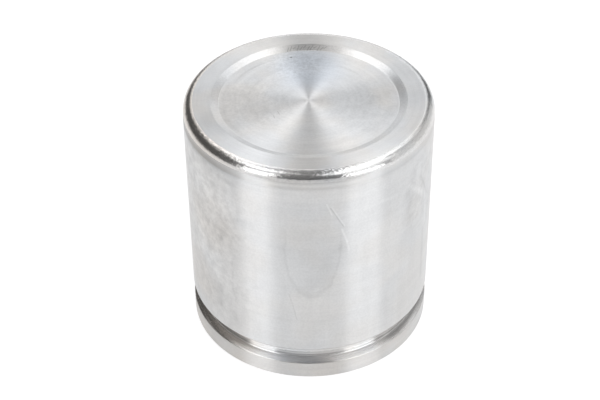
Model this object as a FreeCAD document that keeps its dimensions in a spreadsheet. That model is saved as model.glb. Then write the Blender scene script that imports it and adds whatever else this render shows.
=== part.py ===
import FreeCAD, Part
import os
import Sketcher

# Brake caliper piston, turned in one piece from aluminium bar.
# It stands on the rim of its open end, with the closed crown on top. The origin is the centre of
# the rim's end face and +Z runs along the axis towards the crown. Lengths are in millimetres and
# angles in degrees.

SIZES = {
    # Overall size: the ground wall that slides in the caliper's seal, and rim face to crown
    "piston_diameter": 60.0,
    "piston_height": 63.5,
    # Crown: the flat land round a shallow turned recess, and the rounded shoulder outside it
    "crown_land_width": 4.2,
    "shoulder_radius": 2.25,
    "recess_depth": 0.7,
    "recess_wall_slope": 20.0,
    # Lead-in: a band below the crown, turned a little under the ground diameter
    "leadin_length": 3.6,
    "leadin_relief": 0.12,
    # Dust-boot groove: its lower flank slopes up from the rim towards the floor
    "rim_height": 4.85,
    "rim_relief": 0.05,
    "groove_width": 4.95,
    "groove_depth": 2.0,
    "groove_flank_slope": 20.0,
    "groove_corner_bevel": 0.35,
    "groove_lip_bevel": 0.15,
    # Hollow, open at the rim: the skirt's wall, the metal left under the recess, and its end corner
    "wall_thickness": 8.0,
    "crown_thickness": 10.8,
    "hollow_corner_radius": 5.0,
    # Edge breaks at the rim's end face, outside and at the mouth of the hollow
    "rim_chamfer": 0.4,
    "mouth_chamfer": 1.0,
}

# Radii and heights that several outlines share, worked out from the sizes above
WALL = "sizes.piston_diameter / 2"
LEADIN = WALL + " - sizes.leadin_relief"
RIM = WALL + " - sizes.rim_relief"
GROOVE_FLOOR = WALL + " - sizes.groove_depth"
GROOVE_TOP = "sizes.rim_height + sizes.groove_width"
FLANK_RISE = "(sizes.groove_depth - sizes.rim_relief) * tan(sizes.groove_flank_slope)"
HOLLOW = WALL + " - sizes.wall_thickness"
CROWN = "sizes.piston_height"
LEADIN_EDGE = CROWN + " - sizes.leadin_length"
RECESS_EDGE = LEADIN + " - sizes.shoulder_radius - sizes.crown_land_width"
RECESS_FLOOR = CROWN + " - sizes.recess_depth"
RECESS_RUN = "sizes.recess_depth / tan(sizes.recess_wall_slope)"
HOLLOW_END = RECESS_FLOOR + " - sizes.crown_thickness"
ZERO = "0"

# Half sections, each a closed run of named corners at a radius and a height
BLANK = {
    "base_centre": (ZERO, ZERO),
    "rim_foot": (RIM, ZERO),
    "rim_step": (RIM, GROOVE_TOP),
    "wall_foot": (WALL, GROOVE_TOP),
    "wall_top": (WALL, LEADIN_EDGE + " - sizes.leadin_relief"),
    "leadin_foot": (LEADIN, LEADIN_EDGE),
    "crown_edge": (LEADIN, CROWN),
    "crown_centre": (ZERO, CROWN),
}
CROWN_RECESS = {
    "recess_centre": (ZERO, RECESS_FLOOR),
    "recess_foot": (RECESS_EDGE + " - " + RECESS_RUN, RECESS_FLOOR),
    "recess_edge": (RECESS_EDGE, CROWN),
    "recess_mouth": (ZERO, CROWN),
}
BOOT_GROOVE = {
    "lower_outside": (WALL, "sizes.rim_height"),
    "rim_lip": (RIM, "sizes.rim_height"),
    "floor_foot": (GROOVE_FLOOR, "sizes.rim_height + " + FLANK_RISE),
    "floor_head": (GROOVE_FLOOR, GROOVE_TOP),
    "wall_lip": (WALL, GROOVE_TOP),
}
HOLLOW_BORE = {
    "mouth_centre": (ZERO, ZERO),
    "mouth_edge": (HOLLOW, ZERO),
    "end_corner": (HOLLOW, HOLLOW_END),
    "end_centre": (ZERO, HOLLOW_END),
}

CLOSE = 1e-5


def make_sizes(doc):
    """Put the driving dimensions in a sheet, one named cell each."""
    sheet = doc.addObject("Spreadsheet::Sheet", "sizes")
    for row, (name, value) in enumerate(SIZES.items(), start=1):
        sheet.set(f"A{row}", name.replace("_", " "))
        sheet.set(f"B{row}", str(value))
        sheet.setAlias(f"B{row}", name)
    doc.recompute()


def hold(sketch, corner, index, axis, expression):
    """Hold one corner of a half section at its radius (axis X) or its height (axis Y)."""
    if expression == ZERO:
        sketch_axis = -2 if axis == "X" else -1
        sketch.addConstraint(Sketcher.Constraint("PointOnObject", index, 1, sketch_axis))
        return
    start = sketch.getPoint(index, 1)
    value = start.x if axis == "X" else start.y
    number = sketch.addConstraint(
        Sketcher.Constraint("Distance" + axis, -1, 1, index, 1, value))
    name = corner + ("_radius" if axis == "X" else "_height")
    sketch.renameConstraint(number, name)
    sketch.setExpression("Constraints." + name, expression)


def draw(body, name, corners):
    """Sketch a half section beside the turning axis, every corner held by the sizes."""
    planes = {feature.Role: feature for feature in body.Origin.OriginFeatures}
    sketch = body.newObject("Sketcher::SketchObject", name)
    sketch.AttachmentSupport = [(planes["XZ_Plane"], "")]
    sketch.MapMode = "FlatFace"
    # Rough starting points on an arc, which the constraints then move into place
    count = len(corners)
    rough = [FreeCAD.Vector(number + 1, (number + 1) ** 2, 0) for number in range(count)]
    for index in range(count):
        following = (index + 1) % count
        sketch.addGeometry(Part.LineSegment(rough[index], rough[following]), False)
    for index in range(count):
        following = (index + 1) % count
        sketch.addConstraint(Sketcher.Constraint("Coincident", index, 2, following, 1))
    for index, (corner, (radius, height)) in enumerate(corners.items()):
        hold(sketch, corner, index, "X", radius)
        hold(sketch, corner, index, "Y", height)
    body.Document.recompute()
    return sketch


def turn(body, kind, name, sketch):
    """Turn a half section once round the axis: a Revolution adds it and a Groove cuts it away."""
    before = body.Shape.Volume if kind == "Groove" else 0.0
    feature = body.newObject("PartDesign::" + kind, name)
    feature.Profile = sketch
    feature.ReferenceAxis = (sketch, ["V_Axis"])
    feature.Angle = 360.0
    sketch.Visibility = False
    body.Document.recompute()
    change = body.Shape.Volume - before
    if (change >= 0.0) == (kind == "Groove"):
        raise RuntimeError(f"{name} left the piston's volume as it was")
    return feature


def ring(body, sketch, corners, corner):
    """Name the round edge that one corner of a half section swept."""
    point = sketch.getPoint(list(corners).index(corner), 1)
    for number, edge in enumerate(body.Shape.Edges, start=1):
        if not isinstance(edge.Curve, Part.Circle):
            continue
        if abs(edge.Curve.Radius - point.x) < CLOSE and abs(edge.Curve.Center.z - point.y) < CLOSE:
            return f"Edge{number}"
    raise RuntimeError(f"no round edge at {corner}")


def soften(body, kind, name, edges, size):
    """Round (Fillet) or bevel (Chamfer) round edges of the piston so far."""
    base = body.Tip
    feature = body.newObject("PartDesign::" + kind, name)
    feature.Base = (base, edges)
    feature.setExpression("Radius" if kind == "Fillet" else "Size", "sizes." + size)
    body.Document.recompute()
    return feature


def make_piston(doc):
    """Turn the whole piston: blank, crown recess, boot groove and hollow, then its edges."""
    body = doc.addObject("PartDesign::Body", "piston")
    body.Label = "piston"

    blank = draw(body, "blank_profile", BLANK)
    turn(body, "Revolution", "turned_blank", blank)

    recess = draw(body, "recess_profile", CROWN_RECESS)
    turn(body, "Groove", "crown_recess", recess)

    groove = draw(body, "groove_profile", BOOT_GROOVE)
    turn(body, "Groove", "boot_groove", groove)

    hollow = draw(body, "hollow_profile", HOLLOW_BORE)
    turn(body, "Groove", "hollow_bore", hollow)

    shoulder = ring(body, blank, BLANK, "crown_edge")
    soften(body, "Fillet", "shoulder", [shoulder], "shoulder_radius")

    floor_corners = [ring(body, groove, BOOT_GROOVE, corner)
                     for corner in ("floor_foot", "floor_head")]
    soften(body, "Chamfer", "groove_corners", floor_corners, "groove_corner_bevel")

    lips = [ring(body, groove, BOOT_GROOVE, corner) for corner in ("rim_lip", "wall_lip")]
    soften(body, "Chamfer", "groove_lips", lips, "groove_lip_bevel")

    end_corner = ring(body, hollow, HOLLOW_BORE, "end_corner")
    soften(body, "Fillet", "hollow_corner", [end_corner], "hollow_corner_radius")

    rim_edge = ring(body, blank, BLANK, "rim_foot")
    soften(body, "Chamfer", "rim_edge_break", [rim_edge], "rim_chamfer")

    mouth = ring(body, hollow, HOLLOW_BORE, "mouth_edge")
    soften(body, "Chamfer", "mouth_bevel", [mouth], "mouth_chamfer")
    return body


def check(doc, body):
    """Stop if any object of the document failed or the piston isn't one sound solid."""
    for item in doc.Objects:
        if "Invalid" in item.State or "Error" in item.State:
            raise RuntimeError(f"{item.Name} failed: {item.State}")
    shape = body.Shape
    if shape.isNull() or not shape.isValid() or len(shape.Solids) != 1:
        raise RuntimeError("the piston is not one sound solid")


def main():
    """Model the piston and write it as a STEP file named after its label."""
    doc = FreeCAD.newDocument("brake_caliper_piston")
    make_sizes(doc)
    piston = make_piston(doc)
    check(doc, piston)
    os.makedirs("parts", exist_ok=True)
    piston.Shape.exportStep(f"parts/{piston.Label}.step")
    box = piston.Shape.optimalBoundingBox(False)
    print(f"{piston.Label}: {box.XLength:.3f} x {box.YLength:.3f} x {box.ZLength:.3f} mm, "
          f"{piston.Shape.Volume / 1000:.2f} cm3, {len(piston.Shape.Faces)} faces")


main()
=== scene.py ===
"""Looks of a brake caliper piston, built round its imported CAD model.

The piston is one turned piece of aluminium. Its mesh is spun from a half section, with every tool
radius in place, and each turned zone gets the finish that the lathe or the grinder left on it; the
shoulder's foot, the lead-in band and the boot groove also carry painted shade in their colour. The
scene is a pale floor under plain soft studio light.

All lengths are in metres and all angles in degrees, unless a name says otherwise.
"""
from __future__ import annotations

import logging
import math
from dataclasses import dataclass, field
from enum import Enum

import bmesh
import bpy
from mathutils import Matrix, Vector
from mathutils.kdtree import KDTree


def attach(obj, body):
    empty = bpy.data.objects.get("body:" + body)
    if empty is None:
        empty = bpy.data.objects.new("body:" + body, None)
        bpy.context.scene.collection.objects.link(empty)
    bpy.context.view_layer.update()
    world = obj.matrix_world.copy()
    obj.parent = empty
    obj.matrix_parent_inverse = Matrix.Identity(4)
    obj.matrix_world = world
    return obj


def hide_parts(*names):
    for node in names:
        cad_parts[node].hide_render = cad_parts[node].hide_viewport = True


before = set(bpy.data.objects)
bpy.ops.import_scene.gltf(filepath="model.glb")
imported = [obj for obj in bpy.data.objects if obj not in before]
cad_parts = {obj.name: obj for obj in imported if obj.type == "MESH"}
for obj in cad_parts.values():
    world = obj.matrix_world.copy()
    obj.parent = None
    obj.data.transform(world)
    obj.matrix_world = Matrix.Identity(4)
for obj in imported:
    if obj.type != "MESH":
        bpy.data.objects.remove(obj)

LOG = logging.getLogger("piston")
MM = 0.001

WALL_RADIUS = 30.0 * MM
FLOOR_HEIGHT = 62.8 * MM
SLOPE_FOOT = 21.5 * MM
SLOPE_ANGLE = 20.0
COOL_ALUMINIUM = (0.652, 0.662, 0.676)
WARM_ALUMINIUM = (0.670, 0.660, 0.650)
BROWNED_ALUMINIUM = (0.640, 0.595, 0.550)
BLUED_ALUMINIUM = (0.590, 0.640, 0.710)
GRIPPED_AZIMUTH = -80.0
GRIPPED_SIZE = 36.0 * MM
MARK_SPREAD = 7.0
GRAIN_SIZE = 0.45 * MM
RING_PITCH = 0.9 * MM
STREAK_WIDTH = 2.4 * MM
STREAK_SQUASH = 0.08
RING_ROUGHNESS = 0.7
NOISE_LOW = 0.3
NOISE_HIGH = 0.7
TINT_LOW = 0.38
TINT_HIGH = 0.62
RIPPLES_PER_METRE = 250.0
CLOUDS_PER_METRE = 110.0
SMEARS_PER_METRE = 90.0
TINTS_PER_METRE = 70.0
MERGE_DISTANCE = 1e-7


class Zone(Enum):
    """The turned zones of the piston, each with a finish of its own."""

    FLOOR = "recess_floor"
    WALL = "recess_wall"
    LAND = "crown_land"
    SHOULDER = "shoulder"
    LEAD_IN = "lead_in_band"
    GROUND = "ground_wall"
    GROOVE = "boot_groove"
    RIM = "rim"
    HOLLOW = "hollow"


@dataclass
class Corner:
    """One corner of the piston's half section.

    Attributes:
        radius: distance from the axis.
        height: distance above the rim's end face.
        zone: zone of the surface that runs from this corner to the next.
        blend: radius that rounds the corner, or 0 where it stays sharp.
        steps: straight pieces in the rounded corner.
    """

    radius: float
    height: float
    zone: Zone
    blend: float = 0.0
    steps: int = 4


class Graph:
    """A short way to write shader nodes."""

    def __init__(self, tree: bpy.types.NodeTree) -> None:
        """Keep the node tree that the calls add to."""
        self.tree = tree

    def add(self, kind: str, **settings: object) -> bpy.types.Node:
        """Add one node.

        Args:
            kind: the node's type, without its ShaderNode prefix.
            settings: properties to set on it.

        Returns:
            The new node.
        """
        node = self.tree.nodes.new("ShaderNode" + kind)
        for name, value in settings.items():
            setattr(node, name, value)
        return node

    def feed(self, node: bpy.types.Node, socket: int | str, value: object) -> None:
        """Link a socket to an input, or set the input to a plain value.

        Args:
            node: the node that takes the value.
            socket: name or number of its input.
            value: a socket to link, or a plain value.
        """
        if isinstance(value, bpy.types.NodeSocket):
            self.tree.links.new(value, node.inputs[socket])
        else:
            node.inputs[socket].default_value = value

    def math(self, operation: str, *values: object) -> bpy.types.NodeSocket:
        """Add a Math node.

        Args:
            operation: what it works out.
            values: its inputs in order, each a socket or a number.

        Returns:
            Its result.
        """
        node = self.add("Math", operation=operation)
        for index, value in enumerate(values):
            self.feed(node, index, value)
        return node.outputs[0]

    def vector(self, operation: str, *values: object) -> bpy.types.NodeSocket:
        """Add a Vector Math node.

        Args:
            operation: what it works out.
            values: its inputs in order, each a socket or a plain vector.

        Returns:
            Its vector, or its number where it gives one.
        """
        node = self.add("VectorMath", operation=operation)
        for index, value in enumerate(values):
            self.feed(node, index, value)
        number = operation in ("DOT_PRODUCT", "LENGTH", "DISTANCE")
        return node.outputs["Value" if number else "Vector"]

    def scale(self, vector: object, factor: object) -> bpy.types.NodeSocket:
        """Multiply a vector by a number.

        Args:
            vector: the vector, as a socket or a plain one.
            factor: the number, as a socket or a plain one.

        Returns:
            The longer or shorter vector.
        """
        node = self.add("VectorMath", operation="SCALE")
        self.feed(node, 0, vector)
        self.feed(node, "Scale", factor)
        return node.outputs["Vector"]

    def combine(self, *values: object) -> bpy.types.NodeSocket:
        """Join three numbers into a vector.

        Args:
            values: the three numbers, each a socket or a plain one.

        Returns:
            The vector.
        """
        node = self.add("CombineXYZ")
        for index, value in enumerate(values):
            self.feed(node, index, value)
        return node.outputs[0]

    def noise(self, vector: object, scale: float, detail: float = 2.0,
              roughness: float = 0.5) -> bpy.types.NodeSocket:
        """Add a Noise Texture.

        Args:
            vector: where it is read.
            scale: how many of its waves fit in one unit.
            detail: octaves of finer waves.
            roughness: how strong the finer waves are.

        Returns:
            Its factor, about 0.5 on average.
        """
        node = self.add("TexNoise")
        self.feed(node, "Vector", vector)
        self.feed(node, "Scale", scale)
        self.feed(node, "Detail", detail)
        self.feed(node, "Roughness", roughness)
        return node.outputs["Fac"]

    def span(self, value: object, low: object, high: object, start: float = 0.0,
             end: float = 1.0) -> bpy.types.NodeSocket:
        """Ease from one number to another while a value rises.

        Args:
            value: the value that rises.
            low: where the easing starts.
            high: where it stops.
            start: the result up to low.
            end: the result from high on.

        Returns:
            The eased number.
        """
        node = self.add("MapRange", interpolation_type="SMOOTHSTEP")
        for index, item in enumerate((value, low, high, start, end)):
            self.feed(node, index, item)
        return node.outputs[0]

    def stray(self, noise: bpy.types.NodeSocket, amount: float) -> bpy.types.NodeSocket:
        """Spread a noise between an amount below zero and the same amount above it."""
        return self.span(noise, NOISE_LOW, NOISE_HIGH, -amount, amount)

    def blend(self, factor: object, first: object, second: object) -> bpy.types.NodeSocket:
        """Mix two colours.

        Args:
            factor: share of the second colour.
            first: the first colour.
            second: the second colour.

        Returns:
            The mixed colour.
        """
        node = self.add("Mix", data_type="RGBA")
        self.feed(node, "Factor", factor)
        self.feed(node, 6, first)
        self.feed(node, 7, second)
        return node.outputs[2]


def direction(azimuth: float, elevation: float) -> Vector:
    """Point from the object towards the room.

    Args:
        azimuth: 0 on the camera's side and 90 towards +X.
        elevation: 0 when level and 90 straight up.

    Returns:
        The direction, of length 1.
    """
    turn = math.radians(azimuth)
    rise = math.radians(elevation)
    return Vector((math.sin(turn) * math.cos(rise), -math.cos(turn) * math.cos(rise),
                   math.sin(rise)))


def on_wall(azimuth: float, height: float) -> Vector:
    """Place a point on the ground wall, by its azimuth and its height in millimetres."""
    return direction(azimuth, 0.0) * WALL_RADIUS + Vector((0.0, 0.0, height * MM))


def on_floor(azimuth: float, radius: float) -> Vector:
    """Place a point on the recess floor, by its azimuth and its radius in millimetres."""
    return direction(azimuth, 0.0) * radius * MM + Vector((0.0, 0.0, FLOOR_HEIGHT))


def on_slope(azimuth: float, radius: float) -> Vector:
    """Place a point on the slope round the recess, by its azimuth and radius in millimetres."""
    rise = (radius * MM - SLOPE_FOOT) * math.tan(math.radians(SLOPE_ANGLE))
    return on_floor(azimuth, radius) + Vector((0.0, 0.0, rise))


@dataclass(frozen=True)
class Line:
    """A scratch, a smear or a streak that runs from one point to another.

    Attributes:
        start: its first point.
        end: its last point.
        width: how far it reaches on either side.
        tone: how much paler it is than the metal, or darker where it is negative.
    """

    start: Vector
    end: Vector
    width: float
    tone: float

    def shade(self, graph: Graph, place: bpy.types.NodeSocket) -> bpy.types.NodeSocket:
        """Work out the tone that the line adds at each place.

        Args:
            graph: the material's nodes.
            place: the Object coordinates.

        Returns:
            The tone, 0 away from it.
        """
        run = self.end - self.start
        ahead = graph.vector("SUBTRACT", place, tuple(self.start))
        share = graph.vector("DOT_PRODUCT", ahead, tuple(run / run.length_squared))
        nearest = graph.scale(tuple(run), graph.math("MINIMUM", graph.math(
            "MAXIMUM", share, 0.0), 1.0))
        return graph.span(graph.vector("DISTANCE", ahead, nearest), 0.0, self.width,
                          self.tone, 0.0)


@dataclass(frozen=True)
class Spot:
    """A pit or a soft round patch.

    Attributes:
        centre: its middle.
        size: its radius.
        tone: how much paler it is than the metal, or darker where it is negative.
    """

    centre: Vector
    size: float
    tone: float

    def shade(self, graph: Graph, place: bpy.types.NodeSocket) -> bpy.types.NodeSocket:
        """Work out the tone that the spot adds at each place.

        Args:
            graph: the material's nodes.
            place: the Object coordinates.

        Returns:
            The tone, 0 away from it.
        """
        away = graph.vector("DISTANCE", place, tuple(self.centre))
        return graph.span(away, 0.0, self.size, self.tone, 0.0)


@dataclass(frozen=True)
class Arc:
    """A paler or darker stretch of one ring round the axis, on the crown or round the wall: a tool
    ring's own tone on the crown, and painted shade at the shoulder's foot, along the lead-in band
    and in the boot groove.

    Attributes:
        azimuth: where its middle is.
        reach: how far it runs to either side of there.
        radius: its distance from the axis.
        width: how far it fades out on either side.
        tone: how much paler it is than the metal, or darker where it is negative.
        height: its height above the rim's end face.
    """

    azimuth: float
    reach: float
    radius: float
    width: float
    tone: float
    height: float = FLOOR_HEIGHT

    def shade(self, graph: Graph, place: bpy.types.NodeSocket) -> bpy.types.NodeSocket:
        """Work out the tone that the arc adds at each place.

        Args:
            graph: the material's nodes.
            place: the Object coordinates.

        Returns:
            The tone, 0 away from it.
        """
        flat = graph.vector("MULTIPLY", place, (1.0, 1.0, 0.0))
        outside = graph.math("SUBTRACT", graph.vector("LENGTH", flat), self.radius)
        above = graph.vector("SUBTRACT", graph.vector("MULTIPLY", place, (0.0, 0.0, 1.0)),
                             (0.0, 0.0, self.height))
        off = graph.vector("LENGTH", graph.vector("ADD", above, graph.combine(outside, 0.0, 0.0)))
        ring = graph.span(off, 0.0, self.width, self.tone, 0.0)
        facing = graph.vector("DOT_PRODUCT", graph.vector("NORMALIZE", flat),
                              tuple(direction(self.azimuth, 0.0)))
        return graph.math("MULTIPLY", ring, graph.span(
            facing, math.cos(math.radians(self.reach)), math.cos(math.radians(self.reach / 3))))


@dataclass(frozen=True)
class Scuff:
    """A patch that handling has mottled with small paler and darker flecks.

    Attributes:
        centre: its middle.
        size: its radius.
        tone: how far its flecks stray in tone.
        pitch: typical distance between the flecks.
    """

    centre: Vector
    size: float
    tone: float
    pitch: float

    def shade(self, graph: Graph, place: bpy.types.NodeSocket) -> bpy.types.NodeSocket:
        """Work out the tone that the patch adds at each place.

        Args:
            graph: the material's nodes.
            place: the Object coordinates.

        Returns:
            The tone, 0 away from it.
        """
        fade = graph.span(graph.vector("DISTANCE", place, tuple(self.centre)), self.size / 3,
                          self.size, 1.0, 0.0)
        flecks = graph.noise(place, 1.0 / self.pitch, 3.0, 0.6)
        return graph.math("MULTIPLY", fade, graph.stray(flecks, self.tone))


@dataclass(frozen=True)
class Tarnish:
    """A soft patch where the metal has taken on another colour.

    Attributes:
        centre: its middle.
        size: its radius.
        colour: the colour at its middle.
        share: how much of that colour shows there.
    """

    centre: Vector
    size: float
    colour: tuple[float, float, float]
    share: float

    def stain(self, graph: Graph, place: bpy.types.NodeSocket,
              metal: bpy.types.NodeSocket) -> bpy.types.NodeSocket:
        """Lay the patch over the metal.

        Args:
            graph: the material's nodes.
            place: the Object coordinates.
            metal: the metal's colour.

        Returns:
            The colour with the patch over it.
        """
        away = graph.vector("DISTANCE", place, tuple(self.centre))
        return graph.blend(graph.span(away, self.size / 3, self.size, self.share, 0.0), metal,
                           (*self.colour, 1.0))


@dataclass(frozen=True)
class Tongue:
    """A drying stain on the wall that hangs down in a rounded tongue with a darker edge.

    Attributes:
        azimuth: where its middle is.
        top: height of its widest place.
        half_width: half its width there.
        drop: how far it hangs down from there.
        edge_tone: tone of its edge.
        inner_tone: tone inside it.
        edge_place: where its edge is, as a share of its size.
        edge_width: how far its edge fades on either side, as a share of its size.
        fill: from where to where its inside fades out, as shares of its size.
        front: from where to where it stops, so that it stays on this side of the wall, as shares
            of its drop.
        top_fade: how far it fades in from the top, as a share of its drop.
        ripple: how far its edge wanders, as a share of its size.
    """

    azimuth: float
    top: float
    half_width: float
    drop: float
    edge_tone: float
    inner_tone: float
    edge_place: float = 1.15
    edge_width: float = 0.09
    fill: tuple[float, float] = (0.9, 1.2)
    front: tuple[float, float] = (1.1, 1.5)
    top_fade: float = 0.35
    ripple: float = 0.3

    def shade(self, graph: Graph, place: bpy.types.NodeSocket) -> bpy.types.NodeSocket:
        """Work out the tone that the stain adds at each place.

        Args:
            graph: the material's nodes.
            place: the Object coordinates.

        Returns:
            The tone, 0 away from it.
        """
        middle = on_wall(self.azimuth, self.top / MM)
        across = direction(self.azimuth + 90.0, 0.0)
        ahead = graph.vector("SUBTRACT", place, tuple(middle))
        side = graph.vector("DOT_PRODUCT", ahead, tuple(across / self.half_width))
        rise = graph.vector("DOT_PRODUCT", ahead, (0.0, 0.0, 1.0 / self.drop))
        wander = graph.math("MULTIPLY", graph.noise(place, RIPPLES_PER_METRE, 3.0), self.ripple)
        away = graph.math("ADD", graph.vector("LENGTH", graph.combine(side, 0.0, rise)), wander)
        off_edge = graph.math("ABSOLUTE", graph.math("SUBTRACT", away, self.edge_place))
        edge = graph.span(off_edge, 0.0, self.edge_width, self.edge_tone, 0.0)
        inner = graph.span(away, *self.fill, self.inner_tone, 0.0)
        below = graph.span(rise, 0.0, self.top_fade, 1.0, 0.0)
        near, far = (self.drop * share for share in self.front)
        front = graph.span(graph.vector("LENGTH", ahead), near, far, 1.0, 0.0)
        both = graph.math("ADD", edge, inner)
        return graph.math("MULTIPLY", graph.math("MULTIPLY", both, below), front)


@dataclass(frozen=True)
class MetalFinish:
    """Turned or ground aluminium, with its tool marks running round the axis.

    Attributes:
        name: name of the material.
        roughness: mean roughness.
        stretch: anisotropy, which draws highlights out across the tool marks.
        tilt: how steeply the sides of the tool marks lean, as a slope.
        grain: how steeply the fine grain leans, as a slope.
        shine: how bright the metal is against plain aluminium.
        rings: how much the tool rings stray in tone.
        streaks: how much streaks along the axis stray in tone.
        cloud: how much the whole face strays in tone.
        uneven: how far the roughness strays from its mean.
        mark_pitch: typical distance between tool marks.
        mark_run: typical length of one mark round the axis.
        specks: how much fine specks stray in tone.
        tint: how far the metal strays between its cool and its warm colour, from 0 to 1.
        tarnish: patches of another colour.
        marks: scratches, smears and stains at places of their own, and painted shade rings at the
            shoulder's foot, along the lead-in band and in the boot groove.
    """

    name: str
    roughness: float
    stretch: float = 1.0
    tilt: float = 0.04
    grain: float = 0.0
    shine: float = 1.0
    rings: float = 0.03
    streaks: float = 0.0
    cloud: float = 0.03
    uneven: float = 0.015
    mark_pitch: float = 0.2 * MM
    mark_run: float = 40.0 * MM
    specks: float = 0.02
    tint: float = 1.0
    tarnish: tuple[Tarnish, ...] = ()
    marks: tuple[Line | Spot | Arc | Scuff | Tongue, ...] = ()

    def material(self) -> bpy.types.Material:
        """Make the material.

        Returns:
            A material whose tool marks follow the piston's axis on any zone.
        """
        material = bpy.data.materials.new(self.name)
        material.use_nodes = True
        material.node_tree.nodes.clear()
        graph = Graph(material.node_tree)
        place = graph.add("TexCoord").outputs["Object"]
        normal = graph.add("NewGeometry").outputs["Normal"]
        round_axis = graph.vector("CROSS_PRODUCT", (0.0, 0.0, 1.0), place)
        across = graph.vector("NORMALIZE", graph.vector("CROSS_PRODUCT", normal, round_axis))

        shader = graph.add("BsdfPrincipled")
        graph.feed(shader, "Base Color", self.worn_colour(graph, place))
        graph.feed(shader, "Metallic", 1.0)
        graph.feed(shader, "Roughness", self.uneven_roughness(graph, place))
        graph.feed(shader, "Anisotropic", self.stretch)
        graph.feed(shader, "Tangent", across)
        graph.feed(shader, "Normal", self.tooled_normal(graph, place, normal, across))
        output = graph.add("OutputMaterial")
        graph.tree.links.new(shader.outputs[0], output.inputs[0])
        return material

    def ring_noise(self, graph: Graph, place: bpy.types.NodeSocket, pitch: float,
                   detail: float) -> bpy.types.NodeSocket:
        """Make noise that is long round the axis and short across, as a tool leaves it.

        Args:
            graph: the material's nodes.
            place: the Object coordinates.
            pitch: typical distance between marks.
            detail: octaves of finer marks.

        Returns:
            The noise, about 0.5 on average.
        """
        flat = graph.vector("MULTIPLY", place, (1.0, 1.0, 0.0))
        heading = graph.scale(graph.vector("NORMALIZE", flat), WALL_RADIUS / self.mark_run)
        height = graph.vector("DOT_PRODUCT", place, (0.0, 0.0, 1.0))
        reach = graph.math("ADD", graph.vector("LENGTH", flat), height)
        step = graph.math("MULTIPLY", reach, 1.0 / pitch)
        marks = graph.vector("ADD", heading, graph.combine(0.0, 0.0, step))
        return graph.noise(marks, 1.0, detail, RING_ROUGHNESS)

    def tooled_normal(self, graph: Graph, place: bpy.types.NodeSocket,
                      normal: bpy.types.NodeSocket,
                      across: bpy.types.NodeSocket) -> bpy.types.NodeSocket:
        """Lean the normal over the sides of the tool marks and of the grain.

        Args:
            graph: the material's nodes.
            place: the Object coordinates.
            normal: the smooth normal.
            across: direction across the tool marks.

        Returns:
            The leaned normal.
        """
        lean = graph.math("SUBTRACT", self.ring_noise(graph, place, self.mark_pitch, 4.0), 0.5)
        leaned = graph.vector("ADD", normal, graph.scale(
            across, graph.math("MULTIPLY", lean, self.tilt * MARK_SPREAD)))
        if self.grain:
            speck = graph.add("TexNoise")
            graph.feed(speck, "Vector", place)
            graph.feed(speck, "Scale", 1.0 / GRAIN_SIZE)
            graph.feed(speck, "Detail", 3.0)
            offset = graph.vector("SUBTRACT", speck.outputs["Color"], (0.5, 0.5, 0.5))
            leaned = graph.vector("ADD", leaned, graph.scale(offset, self.grain * MARK_SPREAD))
        return graph.vector("NORMALIZE", leaned)

    def uneven_roughness(self, graph: Graph,
                         place: bpy.types.NodeSocket) -> bpy.types.NodeSocket:
        """Let the roughness stray slowly over the surface, as handling leaves it.

        Args:
            graph: the material's nodes.
            place: the Object coordinates.

        Returns:
            The roughness.
        """
        smears = graph.noise(place, SMEARS_PER_METRE, 3.0)
        return graph.span(smears, NOISE_LOW, NOISE_HIGH, self.roughness - self.uneven,
                          self.roughness + self.uneven)

    def worn_colour(self, graph: Graph, place: bpy.types.NodeSocket) -> bpy.types.NodeSocket:
        """Tone the aluminium with clouds, rings, streaks, specks, the marks of use and painted
        shade.

        Args:
            graph: the material's nodes.
            place: the Object coordinates.

        Returns:
            The colour.
        """
        tone = graph.stray(graph.noise(place, CLOUDS_PER_METRE, 4.0, 0.6), self.cloud)
        rings = self.ring_noise(graph, place, RING_PITCH, 3.0)
        tone = graph.math("ADD", tone, graph.stray(rings, self.rings))
        if self.streaks:
            tall = graph.vector("MULTIPLY", place, (1.0, 1.0, STREAK_SQUASH))
            lines = graph.noise(tall, 1.0 / STREAK_WIDTH, 3.0, 0.6)
            tone = graph.math("ADD", tone, graph.stray(lines, self.streaks))
        specks = graph.noise(place, 1.0 / GRAIN_SIZE, 2.0)
        tone = graph.math("ADD", tone, graph.stray(specks, self.specks))
        # Adds the marks of use and, on the shoulder, lead-in band, ground wall and groove, painted
        # shade rings.
        for mark_or_shade in self.marks:
            tone = graph.math("ADD", tone, mark_or_shade.shade(graph, place))
        tints = graph.noise(place, TINTS_PER_METRE, 2.0)
        warmth = graph.span(tints, TINT_LOW, TINT_HIGH, 0.5 - self.tint / 2, 0.5 + self.tint / 2)
        metal = graph.blend(warmth, (*COOL_ALUMINIUM, 1.0), (*WARM_ALUMINIUM, 1.0))
        for patch in self.tarnish:
            metal = patch.stain(graph, place, metal)
        return graph.scale(metal, graph.math("MULTIPLY_ADD", tone, self.shine, self.shine))


def browned(height: float, share: float) -> tuple[Tarnish, ...]:
    """Brown the metal on the left, where it was gripped, at a height in millimetres."""
    return (Tarnish(on_wall(GRIPPED_AZIMUTH, height), GRIPPED_SIZE, BROWNED_ALUMINIUM, share),)


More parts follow.
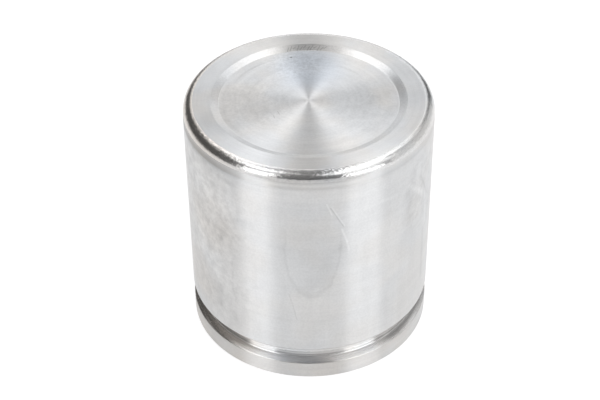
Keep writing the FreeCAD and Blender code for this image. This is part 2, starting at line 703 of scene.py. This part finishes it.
@dataclass
class Piston:
    """The turned piston: its half section, its mesh and its finishes."""

    wall_radius: float = WALL_RADIUS
    height: float = 63.5 * MM
    shoulder_radius: float = 2.25 * MM
    land_width: float = 4.2 * MM
    recess_depth: float = 0.7 * MM
    recess_slope: float = 20.0
    recess_blend: float = 0.4 * MM
    leadin_length: float = 3.6 * MM
    leadin_relief: float = 0.12 * MM
    leadin_taper: float = 0.05 * MM
    leadin_run: float = 0.7 * MM
    leadin_blend: float = 4.0 * MM
    rim_height: float = 4.85 * MM
    rim_relief: float = 0.05 * MM
    groove_width: float = 4.95 * MM
    groove_depth: float = 2.0 * MM
    groove_slope: float = 20.0
    groove_blend: float = 0.35 * MM
    lip_blend: float = 0.15 * MM
    wall_lip_blend: float = 0.06 * MM
    hollow_radius: float = 22.0 * MM
    hollow_end: float = 52.0 * MM
    hollow_blend: float = 5.0 * MM
    rim_break: float = 0.4 * MM
    mouth_break: float = 1.0 * MM
    turns: int = 360
    zones: list[Zone] = field(default_factory=lambda: list(Zone))

    def corners(self) -> list[Corner]:
        """Lay out the half section.

        Returns:
            Its corners from the crown's centre, down the outside and up the hollow.
        """
        leadin = self.wall_radius - self.leadin_relief
        rim = self.wall_radius - self.rim_relief
        recess = leadin - self.shoulder_radius - self.land_width
        recess_run = self.recess_depth / math.tan(math.radians(self.recess_slope))
        floor = self.wall_radius - self.groove_depth
        groove_top = self.rim_height + self.groove_width
        flank_rise = (rim - floor) * math.tan(math.radians(self.groove_slope))
        band = self.height - self.leadin_length
        return [
            Corner(0.0, self.height - self.recess_depth, Zone.FLOOR),
            Corner(recess - recess_run, self.height - self.recess_depth, Zone.WALL,
                   self.recess_blend),
            Corner(recess, self.height, Zone.LAND, self.recess_blend),
            Corner(leadin, self.height, Zone.LEAD_IN, self.shoulder_radius, 16),
            Corner(leadin + self.leadin_taper, band, Zone.LEAD_IN, self.leadin_blend, 4),
            Corner(self.wall_radius, band - self.leadin_run, Zone.GROUND,
                   self.leadin_blend, 4),
            Corner(self.wall_radius, groove_top, Zone.GROOVE, self.wall_lip_blend, 3),
            Corner(floor, groove_top, Zone.GROOVE, self.groove_blend, 5),
            Corner(floor, self.rim_height + flank_rise, Zone.GROOVE, self.groove_blend, 5),
            Corner(rim, self.rim_height, Zone.RIM, self.lip_blend, 3),
            Corner(rim, self.rim_break, Zone.RIM, self.lip_blend, 2),
            Corner(rim - self.rim_break, 0.0, Zone.RIM, self.lip_blend, 2),
            Corner(self.hollow_radius + self.mouth_break, 0.0, Zone.HOLLOW, self.lip_blend, 2),
            Corner(self.hollow_radius, self.mouth_break, Zone.HOLLOW, self.lip_blend, 2),
            Corner(self.hollow_radius, self.hollow_end, Zone.HOLLOW, self.hollow_blend, 10),
            Corner(0.0, self.hollow_end, Zone.HOLLOW),
        ]

    def build(self, body: str) -> bpy.types.Object:
        """Spin the half section into the piston and let it ride on its body.

        Args:
            body: name of the CAD body that it rides on.

        Returns:
            The finished piece.
        """
        mesh = bpy.data.meshes.new("turned_piston")
        self.spin().to_mesh(mesh)
        piece = bpy.data.objects.new("turned_piston", mesh)
        bpy.context.scene.collection.objects.link(piece)
        for zone in self.zones:
            mesh.materials.append(FINISHES[zone].material())
        mesh.shade_smooth()
        self.weigh_normals(piece)
        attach(piece, body)
        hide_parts("piston")
        return piece

    def spin(self) -> bmesh.types.BMesh:
        """Draw the half section, round its corners and spin it once round the axis.

        Returns:
            The closed shape, with a zone on each face.
        """
        outline = self.corners()
        shape = bmesh.new()
        zone_layer = shape.edges.layers.int.new("zone")
        points: list[Vector] = []
        zones: list[Zone] = []
        for index, corner in enumerate(outline):
            before = outline[index - 1] if index else None
            after = outline[index + 1] if index + 1 < len(outline) else None
            arc = self.rounded(before, corner, after)
            points.extend(arc)
            own = Zone.SHOULDER if corner.blend == self.shoulder_radius else None
            zones.extend([own or corner.zone] * (len(arc) - 1) + [corner.zone])
        line = [shape.verts.new(point) for point in points]
        for index in range(len(line) - 1):
            edge = shape.edges.new((line[index], line[index + 1]))
            edge[zone_layer] = self.zones.index(zones[index])
        return self.turn(shape, zone_layer)

    def rounded(self, before: Corner | None, corner: Corner,
                after: Corner | None) -> list[Vector]:
        """Round one corner of the half section.

        Args:
            before: the corner before it, or None at the start.
            corner: the corner to round.
            after: the corner after it, or None at the end.

        Returns:
            The points that stand for it, one where it stays sharp.
        """
        middle = Vector((corner.radius, 0.0, corner.height))
        if before is None or after is None or not corner.blend:
            return [middle]
        back = (Vector((before.radius, 0.0, before.height)) - middle).normalized()
        on = (Vector((after.radius, 0.0, after.height)) - middle).normalized()
        half = back.angle(on) / 2.0
        reach = corner.blend / math.tan(half)
        centre = middle + (back + on).normalized() * (corner.blend / math.sin(half))
        first = (middle + back * reach - centre).normalized()
        last = (middle + on * reach - centre).normalized()
        return [centre + corner.blend * first.slerp(last, step / corner.steps)
                for step in range(corner.steps + 1)]

    def turn(self, shape: bmesh.types.BMesh, zone_layer: object) -> bmesh.types.BMesh:
        """Spin the half section, name each face's zone and close the poles.

        Args:
            shape: the half section.
            zone_layer: the layer that holds the zone of each of its edges.

        Returns:
            The same shape, closed all round.
        """
        middles = KDTree(len(shape.edges))
        swept = [edge[zone_layer] for edge in shape.edges]
        for index, edge in enumerate(shape.edges):
            first, last = (vert.co for vert in edge.verts)
            middles.insert((first + last) / 2.0, index)
        middles.balance()
        bmesh.ops.spin(shape, geom=shape.verts[:] + shape.edges[:], axis=(0.0, 0.0, 1.0),
                       cent=(0.0, 0.0, 0.0), angle=math.tau, steps=self.turns, use_merge=True)
        flatten = 1.0 / math.cos(math.pi / self.turns)
        for face in shape.faces:
            middle = face.calc_center_median()
            radius = math.hypot(middle.x, middle.y) * flatten
            nearest = middles.find(Vector((radius, 0.0, middle.z)))[1]
            face.material_index = swept[nearest]
        bmesh.ops.remove_doubles(shape, verts=shape.verts[:], dist=MERGE_DISTANCE)
        bmesh.ops.recalc_face_normals(shape, faces=shape.faces[:])
        return shape

    def weigh_normals(self, piece: bpy.types.Object) -> None:
        """Keep the broad faces flat in shading, so that only the small radii turn the light.

        Args:
            piece: the finished piece.
        """
        modifier = piece.modifiers.new("weigh", "WEIGHTED_NORMAL")
        modifier.weight = 100
        modifier.keep_sharp = True
        bpy.context.view_layer.objects.active = piece
        with bpy.context.temp_override(object=piece, active_object=piece):
            bpy.ops.object.modifier_apply(modifier=modifier.name)


FLOOR_MARKS = (
    Spot(on_floor(-167.3, 18.9), 0.45 * MM, -0.75),
    Spot(on_floor(-164.5, 18.5), 0.25 * MM, -0.4),
    Line(on_floor(-58.9, 8.6), on_floor(-50.6, 8.9), 0.15 * MM, -0.3),
    Line(on_floor(-54.0, 10.3), on_floor(-48.9, 10.7), 0.15 * MM, -0.3),
    Arc(-131.0, 22.0, 19.4 * MM, 0.5 * MM, -0.10),
    Arc(-128.0, 26.0, 18.0 * MM, 0.9 * MM, 0.06),
    Arc(-146.0, 16.0, 18.8 * MM, 0.4 * MM, 0.07),
    Arc(-105.0, 40.0, 14.5 * MM, 1.2 * MM, -0.05),
    Arc(142.0, 16.0, 16.2 * MM, 0.5 * MM, -0.09),
    Arc(130.0, 28.0, 18.6 * MM, 0.8 * MM, 0.06),
    Arc(96.0, 24.0, 14.0 * MM, 2.6 * MM, -0.06),
    Line(on_floor(91.1, 14.1), on_floor(100.2, 15.4), 0.4 * MM, 0.09),
    Arc(-75.0, 40.0, 20.4 * MM, 0.9 * MM, -0.04),
    Arc(35.0, 60.0, 19.8 * MM, 1.2 * MM, 0.03),
    Scuff(on_floor(-85.0, 14.0), 16.0 * MM, 0.045, 1.8 * MM),
    Scuff(on_floor(80.0, 14.0), 16.0 * MM, 0.035, 1.8 * MM),
    Scuff(on_floor(-170.0, 16.0), 10.0 * MM, 0.08, 0.9 * MM),
)
WALL_MARKS = (
    Tongue(1.0, 43.0 * MM, 6.6 * MM, 15.5 * MM, -0.07, -0.025),
    Line(on_wall(7.1, 55.0), on_wall(9.3, 51.9), 0.3 * MM, 0.13),
    Line(on_wall(8.8, 53.8), on_wall(14.5, 48.0), 0.25 * MM, -0.16),
    Line(on_wall(9.4, 53.9), on_wall(15.1, 48.2), 0.3 * MM, 0.10),
    Line(on_wall(13.9, 47.3), on_wall(16.4, 43.2), 0.45 * MM, 0.12),
    Line(on_wall(16.4, 43.2), on_wall(17.3, 40.5), 0.5 * MM, 0.08),
    Spot(on_wall(13.5, 41.8), 2.6 * MM, -0.06),
    Line(on_wall(33.0, 52.2), on_wall(41.9, 51.4), 0.8 * MM, 0.04),
    Line(on_wall(50.5, 51.8), on_wall(63.1, 45.4), 1.2 * MM, 0.09),
    Line(on_wall(60.7, 50.9), on_wall(68.9, 43.2), 0.8 * MM, -0.10),
    Line(on_wall(66.0, 44.3), on_wall(68.5, 34.6), 0.9 * MM, 0.07),
    Line(on_wall(50.2, 49.0), on_wall(51.2, 42.1), 3.2 * MM, -0.07),
    Line(on_wall(66.0, 33.0), on_wall(67.0, 18.0), 1.2 * MM, -0.09),
    Line(on_wall(-43.9, 47.7), on_wall(-45.5, 33.7), 1.1 * MM, -0.06),
    Line(on_wall(-45.8, 22.3), on_wall(-46.5, 16.5), 1.3 * MM, -0.07),
    Line(on_wall(-52.7, 47.4), on_wall(-54.4, 31.3), 0.9 * MM, -0.05),
    Line(on_wall(-56.0, 58.0), on_wall(-36.0, 56.5), 1.3 * MM, -0.12),
    Line(on_wall(-70.0, 56.0), on_wall(-52.0, 50.0), 1.4 * MM, 0.08),
    Line(on_wall(-38.4, 32.7), on_wall(-38.6, 23.6), 0.6 * MM, -0.05),
    Line(on_wall(-9.9, 27.7), on_wall(-8.1, 24.0), 0.25 * MM, -0.08),
    Line(on_wall(-8.1, 24.0), on_wall(-6.4, 19.5), 0.25 * MM, -0.09),
    Scuff(on_wall(-62.0, 44.0), 24.0 * MM, 0.10, 1.9 * MM),
    Scuff(on_wall(-55.0, 22.0), 20.0 * MM, 0.07, 2.1 * MM),
    Scuff(on_wall(66.0, 48.0), 16.0 * MM, 0.06, 1.9 * MM),
)
# Painted shade in the colour: the darker ring at the shoulder's foot in front, the dark band along
# the lead-in on the left and the faint dark line at the lead-in's lower edge round the front stand
# for shade in the reflection, not for marks on the metal.
SHOULDER_FOOT_SHADE = Arc(0.0, 30.0, WALL_RADIUS, 1.3 * MM, -0.27, 61.6 * MM)
LEAD_IN_PAINTED_SHADE = (
    Arc(-68.0, 40.0, WALL_RADIUS, 2.3 * MM, -0.34, 60.0 * MM),
    SHOULDER_FOOT_SHADE,
    Arc(15.0, 75.0, WALL_RADIUS, 1.0 * MM, -0.08, 59.5 * MM),
)
# Painted shade in the boot groove: a dark ring in the groove's upper part all round, and darker
# stretches lower in the groove on the left and on the right flank, where the groove's walls shade
# it.
GROOVE_PAINTED_SHADE = (
    Arc(0.0, 180.0, 28.0 * MM, 1.0 * MM, -0.30, 8.0 * MM),
    Arc(-54.0, 27.0, 28.0 * MM, 1.3 * MM, -0.40, 6.4 * MM),
    Arc(64.0, 33.0, 28.7 * MM, 1.2 * MM, -0.45, 5.5 * MM),
)
BLUED = (Tarnish(on_floor(180.0, 14.0), 13.0 * MM, BLUED_ALUMINIUM, 0.7),)
FRONT_RIM = (Tarnish(on_wall(0.0, 3.0), 34.0 * MM, BROWNED_ALUMINIUM, 0.3),)
HANDLED = (
    Tarnish(on_wall(-52.0, 42.0), 12.0 * MM, BROWNED_ALUMINIUM, 0.35),
    Tarnish(on_wall(-66.0, 20.0), 11.0 * MM, BROWNED_ALUMINIUM, 0.35),
)
SLOPE_MARKS = tuple(
    Line(on_slope(168.0 + 2.2 * step, 22.9 - 0.3 * (step % 2)),
         on_slope(169.6 + 2.2 * step, 22.2 - 0.4 * (step % 3)), 0.22 * MM, -0.30)
    for step in range(12)
)
FINISHES = {
    Zone.FLOOR: MetalFinish("faced_floor", 0.38, 0.9, 0.03, cloud=0.045, specks=0.03,
                            tarnish=BLUED, marks=FLOOR_MARKS),
    Zone.WALL: MetalFinish("recess_slope", 0.30, 0.6, 0.02, specks=0.05, marks=SLOPE_MARKS),
    Zone.LAND: MetalFinish("faced_land", 0.38, 0.9, 0.03, cloud=0.05),
    # The shoulder, the lead-in band and the top of the ground wall carry painted shade in their
    # colour as well as their marks.
    Zone.SHOULDER: MetalFinish("turned_shoulder", 0.26, 0.6, grain=0.04, specks=0.06,
                               tarnish=browned(62.0, 0.8), marks=(SHOULDER_FOOT_SHADE,)),
    Zone.LEAD_IN: MetalFinish("lead_in_band", 0.30, tarnish=browned(60.0, 0.5),
                              marks=LEAD_IN_PAINTED_SHADE),
    Zone.GROUND: MetalFinish("ground_wall", 0.29, shine=1.02, rings=0.018, streaks=0.018, tint=0.5,
                             specks=0.03, tarnish=HANDLED, marks=WALL_MARKS + LEAD_IN_PAINTED_SHADE),
    # The boot groove carries painted shade in its colour as well as its tool rings.
    Zone.GROOVE: MetalFinish("turned_groove", 0.25, 0.9, 0.06, shine=1.05, rings=0.09,
                             mark_pitch=0.5 * MM, mark_run=120.0 * MM,
                             tarnish=browned(6.0, 0.7), marks=GROOVE_PAINTED_SHADE),
    Zone.RIM: MetalFinish("turned_rim", 0.32, specks=0.03, tarnish=browned(3.0, 0.4) + FRONT_RIM),
    Zone.HOLLOW: MetalFinish("bored_hollow", 0.38, tilt=0.08, mark_pitch=0.3 * MM),
}


@dataclass(frozen=True)
class SoftBox:
    """A rectangular lamp that faces the object.

    Attributes:
        name: name of the lamp.
        azimuth: where it stands, round from the camera's side towards +X.
        elevation: how high it stands, as seen from the object.
        distance: distance from the object.
        width: its level side.
        length: its rising side.
        radiance: brightness of its face, where 1 renders as white.
    """

    name: str
    azimuth: float
    elevation: float
    distance: float
    width: float
    length: float
    radiance: float

    def build(self, target: Vector) -> bpy.types.Object:
        """Hang the lamp and turn it to the target.

        Args:
            target: the point that it faces.

        Returns:
            The lamp.
        """
        data = bpy.data.lights.new(self.name, "AREA")
        data.shape = "RECTANGLE"
        data.size = self.width
        data.size_y = self.length
        data.energy = self.radiance * math.pi * self.width * self.length
        lamp = bpy.data.objects.new(self.name, data)
        way = direction(self.azimuth, self.elevation)
        lamp.location = target + way * self.distance
        lamp.rotation_euler = way.to_track_quat("Z", "Y").to_euler()
        bpy.context.scene.collection.objects.link(lamp)
        return lamp


@dataclass
class Studio:
    """The pale floor, the soft light round the object, and the camera.

    Attributes:
        camera_place: where the camera stands.
        camera_pitch: how far it looks down.
        camera_roll: how far it leans to the side.
        lens_mm: its focal length.
        sensor_mm: the width of its sensor.
        aim_height: height of the point that every lamp faces.
        floor_half: half the floor's side.
        floor_drop: how far the floor lies under the rim's end face, so that the two stay apart.
        floor_paint: how pale the floor is under the light.
        floor_glow: what is added to it where it is seen.
        room: brightness of the room all round.
        lamps: the lamps.
    """

    camera_place: tuple[float, float, float] = (-0.00232, -0.29294, 0.26863)
    camera_pitch: float = 38.88
    camera_roll: float = 0.59
    lens_mm: float = 90.35
    sensor_mm: float = 36.0
    aim_height: float = 0.03
    floor_half: float = 6.0
    floor_drop: float = 0.02 * MM
    floor_paint: float = 0.33
    floor_glow: float = 0.82
    room: float = 0.08
    lamps: tuple[SoftBox, ...] = (
        SoftBox("left_box", -44.8, 20.7, 1.0, 0.44, 0.76, 2.73),
        SoftBox("left_top_box", -59.5, 66.4, 1.0, 0.52, 0.48, 1.03),
        SoftBox("right_box", 45.8, 12.1, 1.0, 0.52, 0.42, 3.12),
        SoftBox("right_top_box", 57.4, 51.9, 1.0, 0.83, 0.74, 1.13),
        SoftBox("high_left_box", -84.3, 65.0, 1.0, 0.55, 0.21, 2.50),
        SoftBox("high_right_box", 97.3, 67.5, 1.0, 1.08, 0.40, 1.34),
        SoftBox("side_box", 106.1, 17.0, 1.0, 1.40, 0.56, 0.73),
        SoftBox("high_side_box", 114.0, 42.0, 1.0, 0.90, 0.28, 0.62),
        SoftBox("back_right_box", 147.0, 56.3, 1.0, 0.36, 0.41, 0.80),
        SoftBox("back_left_box", 206.6, 57.4, 1.0, 0.34, 0.35, 2.15),
        SoftBox("back_box", 178.0, 34.0, 1.0, 0.66, 0.66, 1.12),
        SoftBox("back_low_box", 178.0, 8.0, 1.0, 0.50, 0.22, 0.80),
        SoftBox("overhead_box", 178.0, 80.0, 1.0, 0.50, 0.30, 0.25),
        SoftBox("front_fill", 0.8, 45.4, 1.0, 0.80, 0.81, 0.12),
    )

    def build(self) -> None:
        """Make the camera, the floor and the light."""
        self.camera()
        self.floor()
        self.world()
        target = Vector((0.0, 0.0, self.aim_height))
        for lamp in self.lamps:
            lamp.build(target)
        bpy.context.scene.view_settings.view_transform = "Standard"

    def camera(self) -> None:
        """Stand the camera where the photograph was taken from."""
        data = bpy.data.cameras.new("camera")
        data.lens = self.lens_mm
        data.sensor_width = self.sensor_mm
        pitch = math.radians(self.camera_pitch)
        roll = math.radians(self.camera_roll)
        ahead = Vector((0.0, math.cos(pitch), -math.sin(pitch)))
        level_up = Vector((0.0, math.sin(pitch), math.cos(pitch)))
        level_right = Vector((1.0, 0.0, 0.0))
        right = level_right * math.cos(roll) - level_up * math.sin(roll)
        up = level_right * math.sin(roll) + level_up * math.cos(roll)
        turn = Matrix((right, up, -ahead)).transposed().to_4x4()
        camera = bpy.data.objects.new("camera", data)
        camera.matrix_world = Matrix.Translation(self.camera_place) @ turn
        bpy.context.scene.collection.objects.link(camera)
        bpy.context.scene.camera = camera

    def floor(self) -> None:
        """Lay a pale floor that shows white and keeps the object's shadow."""
        shape = bmesh.new()
        bmesh.ops.create_grid(shape, x_segments=1, y_segments=1, size=self.floor_half,
                              matrix=Matrix.Translation((0.0, 0.0, -self.floor_drop)))
        mesh = bpy.data.meshes.new("floor")
        shape.to_mesh(mesh)
        floor = bpy.data.objects.new("floor", mesh)
        bpy.context.scene.collection.objects.link(floor)
        material = bpy.data.materials.new("pale_floor")
        material.use_nodes = True
        material.node_tree.nodes.clear()
        graph = Graph(material.node_tree)
        paint = graph.add("BsdfDiffuse")
        graph.feed(paint, "Color", (self.floor_paint,) * 3 + (1.0,))
        glow = graph.add("Emission")
        rays = graph.add("LightPath")
        seen = graph.math("MAXIMUM", rays.outputs["Is Camera Ray"],
                          rays.outputs["Is Glossy Ray"])
        seen = graph.math("MAXIMUM", seen, rays.outputs["Is Transmission Ray"])
        graph.feed(glow, "Strength", graph.math("MULTIPLY", seen, self.floor_glow))
        both = graph.add("AddShader")
        graph.tree.links.new(paint.outputs[0], both.inputs[0])
        graph.tree.links.new(glow.outputs[0], both.inputs[1])
        output = graph.add("OutputMaterial")
        graph.tree.links.new(both.outputs[0], output.inputs[0])
        mesh.materials.append(material)

    def world(self) -> None:
        """Surround the object with a plain dim room."""
        world = bpy.data.worlds.new("studio")
        bpy.context.scene.world = world
        world.use_nodes = True
        world.node_tree.nodes["Background"].inputs["Color"].default_value = (1.0, 1.0, 1.0, 1.0)
        world.node_tree.nodes["Background"].inputs["Strength"].default_value = self.room


def write_sizes() -> None:
    """Update the view layer.
    """
    bpy.context.view_layer.update()


def main() -> None:
    """Build the piston and the studio round it."""
    logging.basicConfig(level=logging.INFO, format="%(message)s")
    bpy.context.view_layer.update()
    piece = Piston().build("root")
    LOG.info("%s: %d faces", piece.name, len(piece.data.polygons))
    Studio().build()
    write_sizes()


if __name__ == "__main__":
    main()
